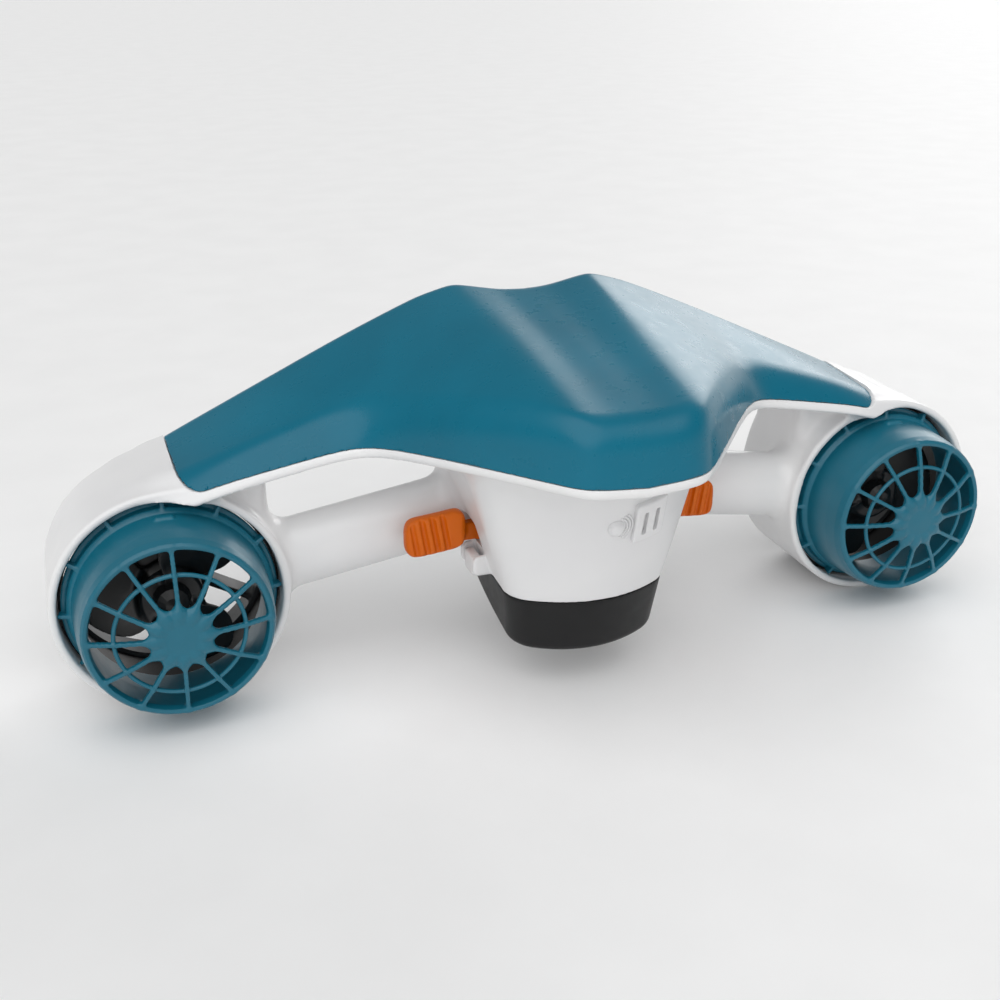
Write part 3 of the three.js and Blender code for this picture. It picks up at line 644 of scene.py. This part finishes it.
def finish_of(name, dark, light, rough, grain=0.0, grain_size=900, patch_size=14, **sockets):
    """A procedural finish. Its colour drifts between dark and light in broad soft patches, its
    roughness varies a little about rough, and a fine grain of the given strength gives relief."""
    made = bpy.data.materials.new(name)
    made.use_nodes = True
    tree = made.node_tree
    shader = tree.nodes["Principled BSDF"]
    place = tree.nodes.new("ShaderNodeTexCoord").outputs["Object"]

    def noise(scale, detail):
        node = tree.nodes.new("ShaderNodeTexNoise")
        node.inputs["Scale"].default_value = scale
        node.inputs["Detail"].default_value = detail
        tree.links.new(place, node.inputs["Vector"])
        return node.outputs["Fac"]

    ramp = tree.nodes.new("ShaderNodeValToRGB")
    ramp.color_ramp.elements[0].position = 0.35
    ramp.color_ramp.elements[0].color = dark
    ramp.color_ramp.elements[1].position = 0.65
    ramp.color_ramp.elements[1].color = light
    tree.links.new(noise(patch_size, 3), ramp.inputs["Fac"])
    tree.links.new(ramp.outputs["Color"], shader.inputs["Base Color"])
    spread = tree.nodes.new("ShaderNodeMapRange")
    spread.inputs["To Min"].default_value = rough * 0.8
    spread.inputs["To Max"].default_value = rough * 1.25
    tree.links.new(noise(patch_size * 9, 4), spread.inputs["Value"])
    tree.links.new(spread.outputs["Result"], shader.inputs["Roughness"])
    if grain:
        bump = tree.nodes.new("ShaderNodeBump")
        bump.inputs["Strength"].default_value = grain
        bump.inputs["Distance"].default_value = 0.0002
        tree.links.new(noise(grain_size, 5), bump.inputs["Height"])
        tree.links.new(bump.outputs["Normal"], shader.inputs["Normal"])
    for socket, value in sockets.items():
        shader.inputs[socket.replace("_", " ")].default_value = value
    return made


FINISHES = {
    "teal_shell": finish_of("teal_gloss", srgb(0, 98, 122), srgb(0, 105, 130), 0.28,
                            Specular_IOR_Level=0.3),
    "teal_guard": finish_of("teal_satin", srgb(10, 96, 117), srgb(16, 103, 125), 0.34, 0.12, 1500),
    "white_body": finish_of("white_gloss", srgb(226, 226, 227), srgb(232, 232, 232), 0.38, 0.06, 800,
                            Coat_Weight=0.35, Coat_Roughness=0.12),
    "orange_trigger": finish_of("orange_soft", srgb(202, 92, 0), srgb(212, 101, 0), 0.42, 0.2, 1400,
                                Specular_IOR_Level=0.3),
    "black_case": finish_of("black_satin", srgb(15, 15, 16), srgb(21, 21, 22), 0.42, 0.25, 2400,
                              Specular_IOR_Level=0.3),
    "black_rotor": finish_of("black_rotor", srgb(20, 21, 22), srgb(30, 31, 32), 0.33, 0.1, 1500),
    "grey_nozzle": finish_of("grey_nozzle", srgb(62, 65, 67), srgb(72, 75, 77), 0.45, 0.2, 1500),
    "steel": finish_of("brushed_steel", srgb(150, 152, 155), srgb(176, 178, 181), 0.3, 0.15, 2500,
                       Metallic=1.0),
    "copper_winding": finish_of("copper", srgb(150, 82, 50), srgb(186, 108, 68), 0.36, 0.4, 3000,
                                Metallic=1.0),
    "circuit_board": finish_of("circuit_board", srgb(18, 74, 46), srgb(30, 96, 60), 0.5, 0.3, 1800),
    "rubber": finish_of("rubber", srgb(19, 19, 19), srgb(28, 28, 28), 0.72, 0.4, 2600),
}


# ---------- pieces ----------
def place_piece(name, shape, body, slot, *stands_for):
    return placed(object_from(name, *shape), body, slot, FINISHES[slot], *stands_for)


def for_side(shape, sign, shift=0.0):
    """A shape made for the right side, moved out along x, and mirrored for the left."""
    vertices, faces, normals = shape
    moved = (vertices + np.array([shift, 0, 0]), faces, normals)
    return moved if sign > 0 else mirrored(*moved)


def build_body():
    sides = [side for side, _ in SIDES]
    white = surface_of(white_field, (-272, -120, -61), (272, 70, 92), 1.1)
    hidden = [f"{side}_{part}" for side in sides for part in ("duct", "handle_bar")]
    place_piece("white_moulding", white, "chassis", "white_body", "chassis_plate", "center_hub", *hidden)
    shell = surface_of(shell_field, (-206, -120, 30), (206, 70, 146), 1.2)
    place_piece("teal_cover", shell, "chassis", "teal_shell", "top_shell")
    strap = surface_of(strap_plate_field, (8, -88, 24), (34, -58, 62), 0.5)
    place_piece("strap_plate", strap, "chassis", "white_body", "tether_plate")
    ripples = surface_of(ripple_field, (2, -84, 30), (13, -68, 54), 0.3)
    place_piece("power_ripples", ripples, "chassis", "white_body")
    button = surface_of(button_field, (-6, -88, 30), (9, -62, 54), 0.4)
    place_piece("button_dome", button, "button", "white_body", "power_button")
    battery = surface_of(battery_field, (-56, -76, -40), (56, 60, 54), 1)
    place_piece("battery_case", battery, "battery", "black_case", "battery_pack")


def build_sides():
    guard = surface_of(guard_field, (-58, -44, -58), (58, 12, 58), 0.8)
    painted_shade_sleeve = surface_of(painted_shade_sleeve_field, (-57, 8, -57), (57, 46, 57), 0.9)
    nozzle = surface_of(nozzle_field, (-58, 36, -58), (58, 66, 58), 0.9)
    blades = surface_of(propeller_field, (-49, 1, -49), (49, 26, 49), 0.8)
    trigger = surface_of(trigger_field, (38, -18, 4), (92, 0, 38), 0.5)
    latch = surface_of(latch_field, (44, -20, -15), (57, 2, 12), 0.4)
    for side, sign in SIDES:
        place_piece(
            f"{side}_guard", for_side(guard, sign, DUCT_X), "chassis", "teal_guard",
            f"{side}_intake_guard", f"{side}_intake_grille",
        )
        # The sleeve is painted shade in the black case finish; it stands for no CAD node.
        place_piece(f"{side}_liner", for_side(painted_shade_sleeve, sign, DUCT_X), "chassis", "black_case")
        place_piece(
            f"{side}_nozzle", for_side(nozzle, sign, DUCT_X), "chassis", "grey_nozzle",
            f"{side}_stator_frame",
        )
        place_piece(
            f"{side}_blades", for_side(blades, sign, DUCT_X), f"{side}_rotor", "black_rotor",
            f"{side}_propeller",
        )
        place_piece(
            f"{side}_finger_trigger", for_side(trigger, sign), f"{side}_trigger_lever",
            "orange_trigger", f"{side}_trigger",
        )
        place_piece(
            f"{side}_latch_finger", for_side(latch, sign), f"{side}_latch", "white_body",
            f"{side}_battery_latch",
        )


def dress_frame_nodes():
    """CAD nodes that stay visible take the finish of the slot that the record gives them."""
    for entry in frame["record"]["subparts"]:
        node, slot = nodes[entry["node"]], entry["material_slot"]
        if not node.hide_render:
            node.data.materials.clear()
            node.data.materials.append(FINISHES[slot])


# ---------- studio ----------
HORIZON_LIGHT = 0.85  # the studio's walls are bright at floor level and fade upwards
CEILING_LIGHT = 0.28


def build_studio():
    bpy.ops.mesh.primitive_plane_add(size=60)
    floor = bpy.context.object
    floor.name = "floor"
    pale = finish_of("pale_floor", (0.86, 0.86, 0.86, 1), (0.88, 0.88, 0.88, 1), 0.6)
    floor.data.materials.append(pale)
    world = bpy.data.worlds.new("studio")
    world.use_nodes = True
    tree = world.node_tree
    height = tree.nodes.new("ShaderNodeSeparateXYZ")
    tree.links.new(tree.nodes.new("ShaderNodeTexCoord").outputs["Generated"], height.inputs[0])
    fade = tree.nodes.new("ShaderNodeMapRange")
    fade.inputs["From Max"].default_value = 0.3
    fade.inputs["To Min"].default_value = HORIZON_LIGHT
    fade.inputs["To Max"].default_value = CEILING_LIGHT
    tree.links.new(height.outputs["Z"], fade.inputs["Value"])
    tree.nodes["Background"].inputs["Color"].default_value = (1, 1, 1, 1)
    tree.links.new(fade.outputs["Result"], tree.nodes["Background"].inputs["Strength"])
    bpy.context.scene.world = world
    lamps = (
        ("key", (-0.5, -0.9, 1.6), 1.5, 2.2),
        ("rim", (1.9, 1.9, 1), 0.6, 0.8),
    )
    for name, towards, spread, strength in lamps:
        light = bpy.data.lights.new(name, "SUN")
        light.angle = spread
        light.energy = strength
        lamp = bpy.data.objects.new(name, light)
        lamp.location = towards
        lamp.rotation_euler = (-Vector(towards)).to_track_quat("-Z", "Y").to_euler()
        bpy.context.scene.collection.objects.link(lamp)


def build_camera():
    azimuth, elevation, roll = math.radians(-18.94), math.radians(23.05), math.radians(-0.19)
    target = Vector((-0.03284, 0.0241, 0.0913))
    back = Vector((
        math.sin(azimuth) * math.cos(elevation),
        -math.cos(azimuth) * math.cos(elevation),
        math.sin(elevation),
    ))
    data = bpy.data.cameras.new("camera")
    data.lens = 47.1
    data.sensor_width = 36
    camera = bpy.data.objects.new("camera", data)
    turn = (-back).to_track_quat("-Z", "Y").to_matrix() @ Matrix.Rotation(roll, 3, "Z")
    camera.rotation_euler = turn.to_euler()
    camera.location = target + 0.69835 * back
    bpy.context.scene.collection.objects.link(camera)
    bpy.context.scene.camera = camera


build_body()
build_sides()
dress_frame_nodes()
build_studio()
build_camera()
bpy.context.scene.view_settings.view_transform = "Standard"
